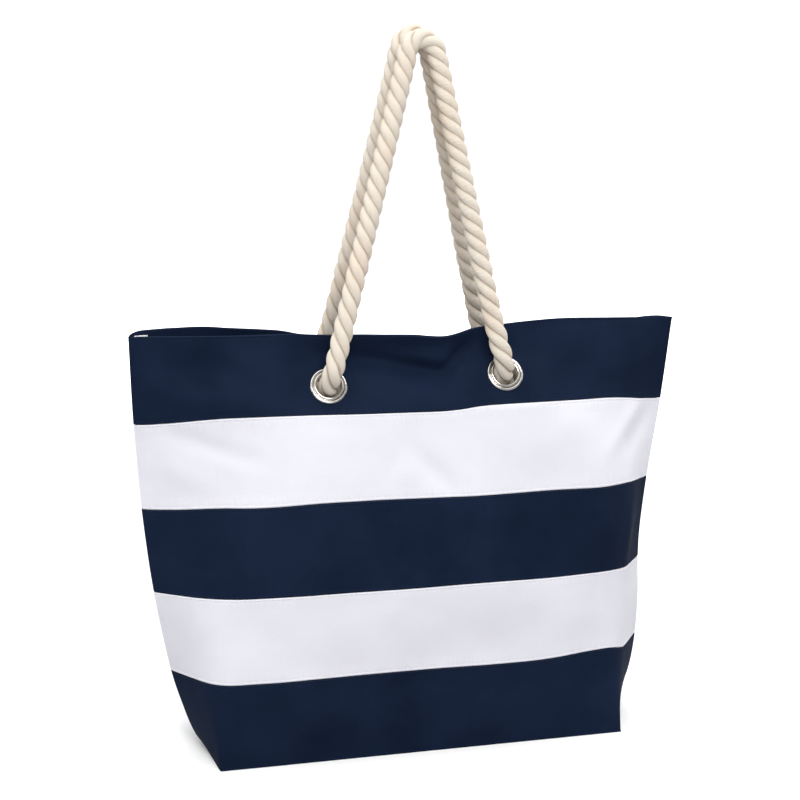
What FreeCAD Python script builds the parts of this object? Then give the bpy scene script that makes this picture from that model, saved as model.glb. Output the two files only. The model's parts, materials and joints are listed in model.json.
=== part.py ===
import FreeCAD, Part
import math
import os

# A striped canvas beach bag with two rope handles.
# Millimetres. The origin is the centre of the base, on the ground. +X is to the right,
# the front faces -Y, and +Z is up.

V = FreeCAD.Vector
UP = V(0, 0, 1)

# ---- Cloth body: the sizes that it was cut to ----
CLOTH_WIDTH = 520.0      # front panel, from one side seam to the other, laid flat
BASE_DEPTH = 138.0       # base, from front to back, as set by the boxed corners
HEIGHT = 385.0           # standing height of the mouth's rim
CLOTH = 1.6              # lined canvas
BASE_WIDTH = CLOTH_WIDTH - BASE_DEPTH

# ---- How the open bag stands ----
FLARE_SHARE = 0.913      # share of the gusset's half that stands out sideways, at the rim
FLARE_POWER = 0.55       # below 1, so that the side flares most near the base
BAND_TOPS = (0.2, 0.4, 0.605, 0.815, 1.0)    # top edge of each band, as a share of HEIGHT
LOW_LEVEL = 0.08         # extra level in the bottom band, where the side flares fastest
MIDDLE_LEAN = (0.5, 3.0, 9.0)    # how much the panel's middle gives way inwards at the first edges

# ---- Eyelets ----
EYELET_SPACING = 165.0   # centre to centre
EYELET_DROP = 42.0       # from the rim down to the eyelet's centre
EYELET_TILT = 31.0       # degrees that the cloth round the eyelets leans back under the ropes' pull
FLAT_ABOVE = 16.0        # height of cloth kept flat above an eyelet's centre
FLAT_ASIDE = 35.0        # width of cloth kept flat to each side of it
BACK_SHIFT = 5.5         # the back pair sits this far towards +X
BORE_R = 11.25
BARREL_WALL = 0.9
FLANGE_R = 17.25
FLANGE_RISE = 2.1        # crown of the flange above the cloth
LIP_RISE = 2.9           # rolled lip above the cloth
LIP_WIDTH = 2.5
WASHER_R = 16.5
WASHER_T = 1.0
CURL_T = 1.0             # barrel's end, rolled over the washer
CURL_WIDTH = 1.6
SLIP = 0.15              # clearance round the barrel
SEAT_GAP = 0.2           # between a knot and the rolled end it bears on

# ---- Rope handles ----
ROPE_R = 9.0
BEND_CLEARANCE = 3.1     # between the rope, where it bends and turns, and the eyelet's lip
NECK_CLEARANCE = 1.4     # between the turning rope and the end of the fixed neck
HANDLE_GAP = 2.0         # between the two handles, where they lean together
ARC_SHARE = 0.45         # share of the shorter run that each arc takes up
# The loop's corners: distance to the right, distance out from where the handles are closest,
# and height above the rim.
FRONT_LOOP = ((-4.5, 0.6, 258.2), (11.3, 0.0, 265.0), (26.6, 0.6, 256.9))
BACK_LOOP = ((-8.0, 0.6, 250.6), (7.6, 0.0, 258.0), (23.2, 0.6, 250.4))

# ---- Knots inside the bag ----
KNOT_R = 20.0
KNOT_T = 26.0
KNOT_GAP = 1.1           # between a front knot and the back one that it faces
TAIL_LENGTH = 46.0       # loose end below the knot's centre
WHIPPING_LENGTH = 12.0
WHIPPING_T = 0.9

# ---- Seam tape inside the bag ----
TAPE_WIDTH = 12.0
TAPE_T = 2.4             # tape folded over the two raw edges
TAPE_GAP = 0.3

# ---- Worked out from the sizes above ----
TILT = math.radians(EYELET_TILT)
WALL = 2 * CLOTH * math.cos(TILT)        # two layers of cloth, across the tilted part
PIVOT_OUT = ROPE_R + LIP_RISE + BEND_CLEARANCE
KNOT_DEPTH = WALL + WASHER_T + CURL_T + SEAT_GAP + KNOT_T / 2
KNOT_REACH = KNOT_T / 2 + (KNOT_R - KNOT_T / 2) * math.sin(TILT)
# The mouth is held open by the knots, which almost touch across the middle plane.
EYELET_DEPTH = KNOT_DEPTH * math.cos(TILT) + KNOT_REACH + KNOT_GAP / 2
EYELET_SHARE = 1 - EYELET_DROP / HEIGHT
FLAT_TOP = EYELET_SHARE + FLAT_ABOVE / HEIGHT
FLAT_LOW = BAND_TOPS[3]

SIDES = {"front": -1.0, "back": 1.0}
BAND_NAMES = ("bottom_band", "lower_white_band", "middle_band", "upper_white_band", "top_band")


def crease_flare(share):
    """How far the side seam stands out past the base's corner, at a share of the height."""
    return FLARE_SHARE * BASE_DEPTH / 2 * (1 - (1 - share) ** 2) ** FLARE_POWER


def crease_depth(share):
    """Distance of the corner crease from the middle plane: the gusset's cloth keeps its width."""
    return math.sqrt((BASE_DEPTH / 2) ** 2 - crease_flare(share) ** 2)


def facet_depth(share):
    """Distance from the middle plane to the tilted facet that an eyelet sits in."""
    return EYELET_DEPTH + (EYELET_SHARE - min(share, FLAT_TOP)) * HEIGHT * math.tan(TILT)


def panel_depth(share):
    """Distance of the panel's middle from the middle plane, at a share of the height."""
    if share >= FLAT_LOW:
        return facet_depth(share)
    edges = (0.0,) + BAND_TOPS[:4]
    depths = [BASE_DEPTH / 2 - lean for lean in (0.0,) + MIDDLE_LEAN] + [facet_depth(FLAT_LOW)]
    low = max(i for i in range(4) if edges[i] <= share)
    part = (share - edges[low]) / (edges[low + 1] - edges[low])
    return depths[low] + part * (depths[low + 1] - depths[low])


def outline(share):
    """Front half of the bag's outer outline at one level, from the left side seam to the right one."""
    crease = BASE_WIDTH / 2
    reach = crease + crease_flare(share)
    middle = panel_depth(share)
    near = EYELET_SPACING / 2 - FLAT_ASIDE
    far = EYELET_SPACING / 2 + FLAT_ASIDE
    left = [(-reach, 0.0), (-crease, -crease_depth(share)), (-far, -middle), (-near, -middle)]
    return left + [(-x, y) for x, y in reversed(left)]


def inset(points, distance):
    """The outline moved inwards by a distance. Its two ends stay on the middle plane."""
    lines = []
    for (ax, ay), (bx, by) in zip(points, points[1:]):
        length = math.hypot(bx - ax, by - ay)
        nx, ny = -(by - ay) / length, (bx - ax) / length
        lines.append((nx, ny, nx * ax + ny * ay + distance))
    moved = []
    first, last = lines[0], lines[-1]
    moved.append((first[2] / first[0], 0.0))
    for (ax, ay, ac), (bx, by, bc), corner in zip(lines, lines[1:], points[1:-1]):
        det = ax * by - ay * bx
        if abs(det) < 1e-6:
            moved.append((corner[0] + ax * distance, corner[1] + ay * distance))
        else:
            moved.append(((ac * by - bc * ay) / det, (ax * bc - bx * ac) / det))
    moved.append((last[2] / last[0], 0.0))
    return moved


def polygon(points):
    return Part.Face(Part.makePolygon(list(points) + [points[0]]))


def skin(a, b, c, d):
    """One flat face over four corners, or two triangles where they don't lie in one plane."""
    normal = (b - a).cross(c - a)
    off = abs(normal.dot(d - a)) / max(normal.Length, 1e-9)
    if off < 1e-6:
        return [polygon((a, b, c, d))]
    return [polygon((a, b, c)), polygon((a, c, d))]


def strip(shares, outer, inner):
    """A layer of cloth round the front half, between two insets and through the given levels."""
    out_rows, in_rows = [], []
    for share in shares:
        z = share * HEIGHT
        line = outline(share)
        out_rows.append([V(x, y, z) for x, y in (inset(line, outer) if outer else line)])
        in_rows.append([V(x, y, z) for x, y in inset(line, inner)])
    faces = []
    for rows in (out_rows, in_rows):
        for low, high in zip(rows, rows[1:]):
            for i in range(len(low) - 1):
                faces += skin(low[i], low[i + 1], high[i + 1], high[i])
    for o, n in ((out_rows[0], in_rows[0]), (out_rows[-1], in_rows[-1])):
        for i in range(len(o) - 1):
            faces += skin(o[i], o[i + 1], n[i + 1], n[i])
    for end in (0, -1):
        for r in range(len(out_rows) - 1):
            faces += skin(out_rows[r][end], out_rows[r + 1][end], in_rows[r + 1][end], in_rows[r][end])
    solid = Part.makeSolid(Part.makeShell(faces))
    if solid.Volume < 0:
        solid.reverse()
    return solid


def on_side(shape, side):
    """Turns a front piece half round about the vertical axis, without mirroring it, for the back."""
    if side == "front":
        return shape
    turned = shape.copy()
    turned.rotate(V(0, 0, 0), UP, 180)
    return turned


# ---- Eyelet places ----
def eyelet_place(side, hand):
    """Centre of an eyelet on the cloth's outer face, and the direction that it faces."""
    sign = SIDES[side]
    shift = BACK_SHIFT if side == "back" else 0.0
    x = hand * EYELET_SPACING / 2 + shift
    centre = V(x, sign * EYELET_DEPTH, EYELET_SHARE * HEIGHT)
    facing = V(0, sign * math.cos(TILT), math.sin(TILT))
    return centre, facing


def placed(shape, side, hand):
    """Moves a piece made about the Z axis so that its axis runs out of an eyelet."""
    centre, facing = eyelet_place(side, hand)
    moved = shape.copy()
    turn = FreeCAD.Rotation(UP, facing)
    moved.Placement = FreeCAD.Placement(centre, turn).multiply(moved.Placement)
    return moved


def pivot(side, hand):
    centre, facing = eyelet_place(side, hand)
    return centre + facing * PIVOT_OUT


def revolved(edges):
    face = Part.Face(Part.Wire(edges))
    solid = face.revolve(V(0, 0, 0), UP, 360)
    if solid.Volume < 0:
        solid.reverse()
    return solid


def line(a, b):
    return Part.makeLine(V(a[0], 0, a[1]), V(b[0], 0, b[1]))


def arc(a, b, c):
    return Part.Arc(V(a[0], 0, a[1]), V(b[0], 0, b[1]), V(c[0], 0, c[1])).toShape()


# ---- Cloth pieces ----
def with_bores(shape, side):
    """Cuts the two holes that the eyelets' barrels pass through."""
    hole = Part.makeCylinder(BORE_R + BARREL_WALL + SLIP, 8 * CLOTH, V(0, 0, -4 * CLOTH))
    for hand in (-1, 1):
        shape = shape.cut(placed(hole, side, hand))
    return shape.Solids[0]


def band_levels(index):
    low = 0.0 if index == 0 else BAND_TOPS[index - 1]
    high = BAND_TOPS[index]
    if index == 0:
        return [low, LOW_LEVEL, high]
    if index == len(BAND_TOPS) - 1:
        return [low, FLAT_TOP, high]
    return [low, high]


def cloth_bands():
    pieces = {}
    for index, name in enumerate(BAND_NAMES):
        wall = strip(band_levels(index), 0.0, CLOTH)
        if index == 0:
            half_base = Part.makeBox(BASE_WIDTH, BASE_DEPTH / 2, CLOTH, V(-BASE_WIDTH / 2, -BASE_DEPTH / 2, 0))
            wall = wall.fuse(half_base).removeSplitter().Solids[0]
        for side in SIDES:
            piece = on_side(wall, side)
            if name == "top_band":
                piece = with_bores(piece, side)
            pieces[side + "_" + name] = piece
    return pieces


def facings():
    """The second layer of cloth behind each top band, which the eyelets also go through."""
    wall = strip(band_levels(len(BAND_TOPS) - 1), CLOTH, 2 * CLOTH)
    return {side + "_facing": with_bores(on_side(wall, side), side) for side in SIDES}


def side_tape():
    """Tape folded over the right side seam's raw edges. It stands inwards from the seam."""
    inner_edge, outer_edge = [], []
    for share in [0.0, LOW_LEVEL] + list(BAND_TOPS[:-1]) + [FLAT_TOP, 1.0]:
        line_in = inset(outline(share), 2 * CLOTH)
        apex, beside = line_in[-1][0], line_in[-2]
        # The tape stops where the two panels leave room for its thickness.
        slope = (apex - beside[0]) / abs(beside[1])
        outer = apex - slope * TAPE_T / 2 - TAPE_GAP
        outer_edge.append(V(outer, -TAPE_T / 2, share * HEIGHT))
        inner_edge.append(V(outer - TAPE_WIDTH, -TAPE_T / 2, share * HEIGHT))
    tape = polygon(inner_edge + outer_edge[::-1]).extrude(V(0, TAPE_T, 0))
    lowest = CLOTH + TAPE_T + TAPE_GAP
    floor = Part.makeBox(2 * CLOTH_WIDTH, 2 * TAPE_T, lowest, V(-CLOTH_WIDTH, -TAPE_T, 0))
    return tape.cut(floor).Solids[0]


def corner_tape():
    """Tape over the right boxed corner's seam, lying on the base along its end."""
    length = BASE_DEPTH - 2 * (TAPE_WIDTH / 2)
    x = BASE_WIDTH / 2 - CLOTH - TAPE_GAP - TAPE_WIDTH
    return Part.makeBox(TAPE_WIDTH, length, TAPE_T, V(x, -length / 2, CLOTH))


def base_seam_tape():
    """Tape over the seam along the middle of the base, lying to one side of it."""
    length = BASE_WIDTH - 2 * (TAPE_WIDTH + 2 * TAPE_GAP + CLOTH)
    return Part.makeBox(length, TAPE_WIDTH, TAPE_T, V(-length / 2, 0, CLOTH))


def tapes():
    pieces = {"base_seam_tape": base_seam_tape()}
    for name, piece in (("side_tape", side_tape()), ("corner_tape", corner_tape())):
        pieces["right_" + name] = piece
        pieces["left_" + name] = on_side(piece, "back")
    return pieces


# ---- Eyelets ----
def eyelet():
    """A flanged barrel with a rolled lip. Its far end is rolled out over the washer."""
    outer = BORE_R + BARREL_WALL
    washer_back = -(WALL + WASHER_T)
    end = washer_back - CURL_T
    lip_out = BORE_R + LIP_WIDTH
    lip_mid = BORE_R + LIP_WIDTH / 2
    groove = LIP_RISE / 2
    crown = (lip_out + FLANGE_R) / 2
    edge = 0.4
    edges = [
        line((BORE_R, end), (BORE_R, groove)),
        arc((BORE_R, groove), (lip_mid, LIP_RISE), (lip_out, groove)),
        arc((lip_out, groove), (crown, FLANGE_RISE), (FLANGE_R, edge)),
        line((FLANGE_R, edge), (FLANGE_R, 0)),
        line((FLANGE_R, 0), (outer, 0)),
        line((outer, 0), (outer, washer_back)),
        line((outer, washer_back), (outer + CURL_WIDTH, washer_back)),
        line((outer + CURL_WIDTH, washer_back), (outer + CURL_WIDTH, end)),
        line((outer + CURL_WIDTH, end), (BORE_R, end)),
    ]
    return revolved(edges)


def washer():
    inner = BORE_R + BARREL_WALL + SLIP / 3
    ring = Part.makeCylinder(WASHER_R, WASHER_T, V(0, 0, -WALL - WASHER_T))
    return ring.cut(Part.makeCylinder(inner, WASHER_T, V(0, 0, -WALL - WASHER_T)))


# ---- Rope ----
def knot_point(side, hand):
    centre, facing = eyelet_place(side, hand)
    return centre - facing * KNOT_DEPTH


def knot(side, hand):
    """A stopper knot with its neck, which fills the eyelet's bore, and its loose end."""
    low = -KNOT_DEPTH - KNOT_T / 2
    high = low + KNOT_T
    flat = KNOT_R - KNOT_T / 2
    body = revolved([
        line((0, low), (flat, low)),
        arc((flat, low), (KNOT_R, (low + high) / 2), (flat, high)),
        line((flat, high), (0, high)),
        line((0, high), (0, low)),
    ])
    neck_top = PIVOT_OUT - ROPE_R - NECK_CLEARANCE
    neck = Part.makeCylinder(ROPE_R, neck_top - low - KNOT_T / 2, V(0, 0, low + KNOT_T / 2))
    shape = placed(body.fuse(neck), side, hand)
    tail = Part.makeCylinder(ROPE_R, TAIL_LENGTH, knot_point(side, hand), -UP)
    return shape.fuse(tail).removeSplitter().Solids[0]


def whipping(side, hand):
    """Twine wound round the rope's end, so that it can't fray."""
    top = knot_point(side, hand) - UP * (TAIL_LENGTH - WHIPPING_LENGTH)
    ring = Part.makeCylinder(ROPE_R + SLIP / 3 + WHIPPING_T, WHIPPING_LENGTH, top, -UP)
    return ring.cut(Part.makeCylinder(ROPE_R + SLIP / 3, WHIPPING_LENGTH, top, -UP))


def rope_route(side):
    sign = SIDES[side]
    loop = FRONT_LOOP if side == "front" else BACK_LOOP
    closest = ROPE_R + HANDLE_GAP / 2
    corners = [V(x, sign * (closest + out), HEIGHT + rise) for x, out, rise in loop]
    return [pivot(side, -1)] + corners + [pivot(side, 1)]


def rounded_path(points):
    """Straight runs joined by tangent arcs. Each arc is as large as its two runs allow."""
    edges = []
    radii = []
    at = points[0]
    for before, corner, after in zip(points, points[1:], points[2:]):
        into = (corner - before).normalize()
        out = (after - corner).normalize()
        half_turn = into.getAngle(out) / 2
        cut = ARC_SHARE * min((corner - before).Length, (after - corner).Length)
        radius = cut / math.tan(half_turn)
        start = corner - into * cut
        end = corner + out * cut
        inward = (out - into).normalize()
        middle = corner + inward * (radius / math.cos(half_turn) - radius)
        edges.append(Part.LineSegment(at, start).toShape())
        edges.append(Part.Arc(start, middle, end).toShape())
        radii.append(radius)
        at = end
    edges.append(Part.LineSegment(at, points[-1]).toShape())
    return Part.Wire(edges), radii


def handle_rope(side):
    """A handle's free rope, from one turning point to the other, with a rounded end at each."""
    points = rope_route(side)
    path, radii = rounded_path(points)
    away = (points[1] - points[0]).normalize()
    section = Part.Wire(Part.makeCircle(ROPE_R, points[0], away))
    tube = path.makePipeShell([section], True, False)
    if tube.Volume < 0:
        tube.reverse()
    ideal = math.pi * ROPE_R ** 2 * path.Length
    print(side, "handle rope: arc radii", [round(r, 1) for r in radii], "length", round(path.Length, 1),
          "volume", round(tube.Volume), "section times length", round(ideal))
    for end, beside in ((points[0], points[1]), (points[-1], points[-2])):
        outward = (end - beside).normalize()
        tube = tube.fuse(Part.makeSphere(ROPE_R, end, outward, 0, 90, 360))
    return tube.removeSplitter().Solids[0]


def fittings():
    pieces = {}
    hands = {"left": -1, "right": 1}
    for side in SIDES:
        pieces[side + "_handle_rope"] = handle_rope(side)
        for hand, sign in hands.items():
            name = side + "_" + hand
            pieces[name + "_eyelet"] = placed(eyelet(), side, sign)
            pieces[name + "_washer"] = placed(washer(), side, sign)
            pieces[name + "_knot"] = knot(side, sign)
            pieces[name + "_whipping"] = whipping(side, sign)
    return pieces


os.makedirs("parts", exist_ok=True)
for node, piece in {**cloth_bands(), **facings(), **tapes(), **fittings()}.items():
    piece.exportStep("parts/" + node + ".step")
for side in SIDES:
    print(side, "turning points", [tuple(round(c, 2) for c in pivot(side, hand)) for hand in (-1, 1)])
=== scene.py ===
import bisect
import json
import math

import bmesh
import bpy
from mathutils import Matrix, Vector, noise
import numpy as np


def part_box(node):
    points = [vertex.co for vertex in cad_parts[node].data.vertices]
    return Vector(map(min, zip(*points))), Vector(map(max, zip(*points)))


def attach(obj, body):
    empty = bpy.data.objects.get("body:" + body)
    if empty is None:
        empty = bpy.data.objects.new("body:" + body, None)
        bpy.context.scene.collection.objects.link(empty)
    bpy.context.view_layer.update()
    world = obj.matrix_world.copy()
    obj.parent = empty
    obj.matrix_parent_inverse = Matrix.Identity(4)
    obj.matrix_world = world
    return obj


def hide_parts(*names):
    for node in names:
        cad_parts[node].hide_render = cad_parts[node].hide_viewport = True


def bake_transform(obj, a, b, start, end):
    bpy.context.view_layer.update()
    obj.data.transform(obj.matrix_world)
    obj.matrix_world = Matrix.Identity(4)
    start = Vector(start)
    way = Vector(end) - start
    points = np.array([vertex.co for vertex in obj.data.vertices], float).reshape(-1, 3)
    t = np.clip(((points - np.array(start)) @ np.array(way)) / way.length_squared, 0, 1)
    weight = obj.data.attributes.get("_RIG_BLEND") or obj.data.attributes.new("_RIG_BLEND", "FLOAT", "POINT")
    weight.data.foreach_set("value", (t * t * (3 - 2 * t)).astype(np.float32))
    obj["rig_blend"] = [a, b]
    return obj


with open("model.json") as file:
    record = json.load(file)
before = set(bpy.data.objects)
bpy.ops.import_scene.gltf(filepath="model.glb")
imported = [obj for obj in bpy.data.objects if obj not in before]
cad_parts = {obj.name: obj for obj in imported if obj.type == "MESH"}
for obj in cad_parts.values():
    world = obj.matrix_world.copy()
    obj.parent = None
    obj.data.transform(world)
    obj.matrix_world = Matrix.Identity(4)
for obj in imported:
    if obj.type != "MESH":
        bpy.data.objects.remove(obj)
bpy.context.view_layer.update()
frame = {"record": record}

# A striped canvas beach bag with two laid rope handles. Metres, in the CAD model's frame:
# the base's centre is the origin, the front faces -Y, and +Z is up.

SIDES = {"front": -1.0, "back": 1.0}
HANDS = {"left": -1.0, "right": 1.0}

# ---- Sizes of the cloth body ----
RIM_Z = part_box("front_top_band")[1].z
HALF_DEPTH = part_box("back_bottom_band")[1].y
CLOTH_GAP = 0.0019                      # canvas and clearance outside the corner tape
HALF_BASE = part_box("right_corner_tape")[1].x + CLOTH_GAP
HALF_WIDTH = HALF_BASE + HALF_DEPTH     # flat, from the middle to a side seam
CANVAS = 0.0012
BANDS = ("bottom_band", "lower_white_band", "middle_band", "upper_white_band", "top_band")
# Cloth height of each band's lower edge, and of the rim, measured up the panel.
EDGES = (0.0, 0.079, 0.158, 0.2365, 0.3145, 0.3935)

# ---- Eyelets and ropes ----
TILT = math.radians(31.0)               # how far the eyelets face up
PIVOT_OUT = 0.015                       # from the cloth's face to a handle's hinge
ROPE_R = 0.009
LAY = 0.046                             # length of rope in which a strand goes once round
TIGHTER_LAY = 0.14                      # share by which a handle's lay is tighter near its top
BORE_R = 0.01125


def facing(side):
    """Direction that the eyelets of one side face."""
    return Vector((0, SIDES[side] * math.cos(TILT), math.sin(TILT)))


def up_cloth(side):
    """Direction up the tilted cloth round an eyelet."""
    return Vector((0, -SIDES[side] * math.sin(TILT), math.cos(TILT)))


def pivot_line(side):
    joints = {j["name"]: j for j in frame["record"]["behaviour"]["joints"]}
    return Vector(joints[side + "_handle_swing"]["pos_m"])


# One eyelet was punched a little low.
PUNCHED_LOW = {("front", "left"): 0.0045}


def eyelet_centre(side, hand):
    """Middle of an eyelet, on the cloth's outer face."""
    low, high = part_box(side + "_" + hand + "_washer")
    line = pivot_line(side)
    pivot = Vector(((low.x + high.x) / 2, line.y, line.z))
    return pivot - facing(side) * PIVOT_OUT - up_cloth(side) * PUNCHED_LOW.get((side, hand), 0.0)


# ---- Camera ----
CAMERA_PLACE = (-0.3820, -1.4806, 0.6132)
CAMERA_TURNED = math.radians(14.17)     # to the right of straight ahead
CAMERA_DOWN = math.radians(10.99)
SENSOR, LENS = 36.0, 75.9               # millimetres


def make_camera():
    data = bpy.data.cameras.new("camera")
    data.sensor_width = SENSOR
    data.lens = LENS
    camera = bpy.data.objects.new("camera", data)
    bpy.context.collection.objects.link(camera)
    level = math.cos(CAMERA_DOWN)
    look = Vector((math.sin(CAMERA_TURNED) * level, math.cos(CAMERA_TURNED) * level, -math.sin(CAMERA_DOWN)))
    camera.location = CAMERA_PLACE
    camera.rotation_mode = "QUATERNION"
    camera.rotation_quaternion = look.to_track_quat("-Z", "Y")
    bpy.context.scene.camera = camera


make_camera()


# ---- Small tools ----
def new_piece(name, bm, material, smooth=True):
    mesh = bpy.data.meshes.new(name)
    bm.to_mesh(mesh)
    bm.free()
    for polygon in mesh.polygons:
        polygon.use_smooth = smooth
    piece = bpy.data.objects.new(name, mesh)
    bpy.context.collection.objects.link(piece)
    piece.data.materials.append(material)
    return piece


def smoothstep(low, high, value):
    share = min(max((value - low) / (high - low), 0.0), 1.0)
    return share * share * (3 - 2 * share)


def between(table, at):
    """A smooth curve through a table of (place, value) pairs, read at one place."""
    places = [row[0] for row in table]
    i = min(max(bisect.bisect_right(places, at) - 1, 0), len(table) - 2)
    x0, y0 = table[i]
    x1, y1 = table[i + 1]
    step = x1 - x0
    before = table[i - 1] if i > 0 else (x0 - step, y0 - (y1 - y0))
    after = table[i + 2] if i + 2 < len(table) else (x1 + step, y1 + (y1 - y0))
    m0 = (y1 - before[1]) / (x1 - before[0]) * step
    m1 = (after[1] - y0) / (after[0] - x0) * step
    t = min(max((at - x0) / step, 0.0), 1.0)
    return ((2 * t ** 3 - 3 * t ** 2 + 1) * y0 + (t ** 3 - 2 * t ** 2 + t) * m0
            + (3 * t ** 2 - 2 * t ** 3) * y1 + (t ** 3 - t ** 2) * m1)


def lengths_along(points):
    """The distance along a line to each of its points."""
    lengths = [0.0]
    for a, b in zip(points, points[1:]):
        lengths.append(lengths[-1] + (b - a).length)
    return lengths


def nearest(places, at):
    """Which of a rising list of places is nearest."""
    i = bisect.bisect_left(places, at)
    if i == len(places) or (i > 0 and at - places[i - 1] < places[i] - at):
        i -= 1
    return i


def grid(columns, rows):
    """A flat grid whose lines cross at the given places, with those places as its UV map, in metres."""
    bm = bmesh.new()
    bmesh.ops.create_grid(bm, x_segments=len(columns) - 1, y_segments=len(rows) - 1, size=1)
    uv = bm.loops.layers.uv.new("cloth")
    for vert in bm.verts:
        column = round((vert.co.x + 1) / 2 * (len(columns) - 1))
        row = round((vert.co.y + 1) / 2 * (len(rows) - 1))
        vert.co = (columns[column], rows[row], 0)
    for face in bm.faces:
        for loop in face.loops:
            loop[uv].uv = loop.vert.co.xy
    return bm


# ---- Materials ----
# Each node helper takes plain values or other nodes' outputs, and gives its own node's output.
def shader(name):
    material = bpy.data.materials.new(name)
    material.use_nodes = True
    tree = material.node_tree
    return material, tree, tree.nodes["Principled BSDF"]


def feed(tree, node, inputs):
    """Sets a node's inputs to numbers or colours, or links them to other nodes' outputs."""
    for name, value in inputs.items():
        if isinstance(value, bpy.types.NodeSocket):
            tree.links.new(value, node.inputs[name])
        elif isinstance(value, tuple):
            node.inputs[name].default_value = (*value, 1)
        else:
            node.inputs[name].default_value = value


def add(tree, kind, inputs=None, **settings):
    """A new node. Its settings are made first, because they decide which inputs it has."""
    node = tree.nodes.new("ShaderNode" + kind)
    for name, value in settings.items():
        setattr(node, name, value)
    feed(tree, node, inputs or {})
    return node


def math_node(tree, operation, *values):
    return add(tree, "Math", dict(enumerate(values)), operation=operation).outputs[0]


def mapped(tree, value, low, high, to_low=0.0, to_high=1.0):
    """A value carried from one range over to another, and held inside it."""
    ends = {"Value": value, "From Min": low, "From Max": high, "To Min": to_low, "To Max": to_high}
    return add(tree, "MapRange", ends).outputs[0]


def mixed(tree, first, second, factor, kind="RGBA", how="MIX"):
    """Two colours or two numbers, mixed."""
    values = {"A": first, "B": second, "Factor": factor}
    return add(tree, "Mix", values, data_type=kind, blend_type=how).outputs["Result"]


def noise_texture(tree, place, scale, detail, roughness=0.5):
    values = {"Vector": place, "Scale": scale, "Detail": detail, "Roughness": roughness}
    return add(tree, "TexNoise", values).outputs["Fac"]


def relief(tree, height, distance, strength, under=None):
    """Bumps of a given depth, laid over other bumps where there are some."""
    values = {"Height": height, "Distance": distance, "Strength": strength}
    if under is not None:
        values["Normal"] = under
    return add(tree, "Bump", values).outputs[0]


def split_axes(tree, place):
    return add(tree, "SeparateXYZ", {"Vector": place}).outputs


def stretched(tree, place, scale):
    return add(tree, "Mapping", {"Vector": place, "Scale": Vector(scale)}).outputs[0]


def cloth_place(tree):
    """The piece's own map: metres on flat cloth, or turns round a strand and metres along it."""
    return add(tree, "UVMap", uv_map="cloth").outputs[0]


def object_place(tree):
    return add(tree, "TexCoord").outputs["Object"]


def stored(tree, name):
    """A value kept at each point of a piece."""
    return add(tree, "Attribute", attribute_name=name).outputs["Fac"]


def group_sockets(tree, inputs, outputs):
    for direction, sockets in (("INPUT", inputs), ("OUTPUT", outputs)):
        for name, kind in sockets:
            tree.interface.new_socket(name, in_out=direction, socket_type=kind)
    return tree.nodes.new("NodeGroupInput"), tree.nodes.new("NodeGroupOutput")


THREADS = 1500.0         # in a metre of cloth
SLUB_SCALE = (90.0, 900.0, 1.0)      # thick and thin places run along the threads
SLUB_HEIGHT = 0.15       # as a share of a thread's
FOLD_WORN_AND_LIT = (0.0002, 0.0016)         # from a sewn edge: fully worn and lit by a painted highlight, and neither at all
PUCKERED = (0.002, 0.012)            # the same for the ripples beside the stitches
RIPPLE_SCALE = (260.0, 60.0, 1.0)


def plain_weave():
    """Height of a plain weave of round threads, over a cloth coordinate in metres."""
    tree = bpy.data.node_groups.new("plain_weave", "ShaderNodeTree")
    start, end = group_sockets(
        tree,
        [("Cloth", "NodeSocketVector"), ("Threads", "NodeSocketFloat")],
        [("Height", "NodeSocketFloat"), ("Slub", "NodeSocketFloat")],
    )
    axes = split_axes(tree, start.outputs["Cloth"])
    waves = []
    for axis in ("X", "Y"):
        turns = math_node(tree, "MULTIPLY", axes[axis], start.outputs["Threads"])
        waves.append(math_node(tree, "SINE", math_node(tree, "MULTIPLY", turns, math.pi)))
    crossing = math_node(tree, "MULTIPLY", *waves)
    slub = noise_texture(tree, stretched(tree, start.outputs["Cloth"], SLUB_SCALE), 1.0, 2.0)
    uneven = math_node(tree, "MULTIPLY", slub, SLUB_HEIGHT)
    feed(tree, end, {"Height": math_node(tree, "ADD", crossing, uneven), "Slub": slub})
    return tree


def seam_marks():
    """Wear with a painted highlight, and ripples, by the stored distance to a band's sewn edge."""
    tree = bpy.data.node_groups.new("seam_marks", "ShaderNodeTree")
    _, end = group_sockets(tree, [], [("Fold", "NodeSocketFloat"), ("Pucker", "NodeSocketFloat")])
    edge = stored(tree, "edge")
    ripple = noise_texture(tree, stretched(tree, cloth_place(tree), RIPPLE_SCALE), 1.0, 1.0)
    pucker = math_node(tree, "MULTIPLY", ripple, mapped(tree, edge, *PUCKERED, 1.0, 0.0))
    feed(tree, end, {"Fold": mapped(tree, edge, *FOLD_WORN_AND_LIT, 1.0, 0.0), "Pucker": pucker})
    return tree


WEAVE = plain_weave()
SEAM_MARKS = seam_marks()


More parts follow.
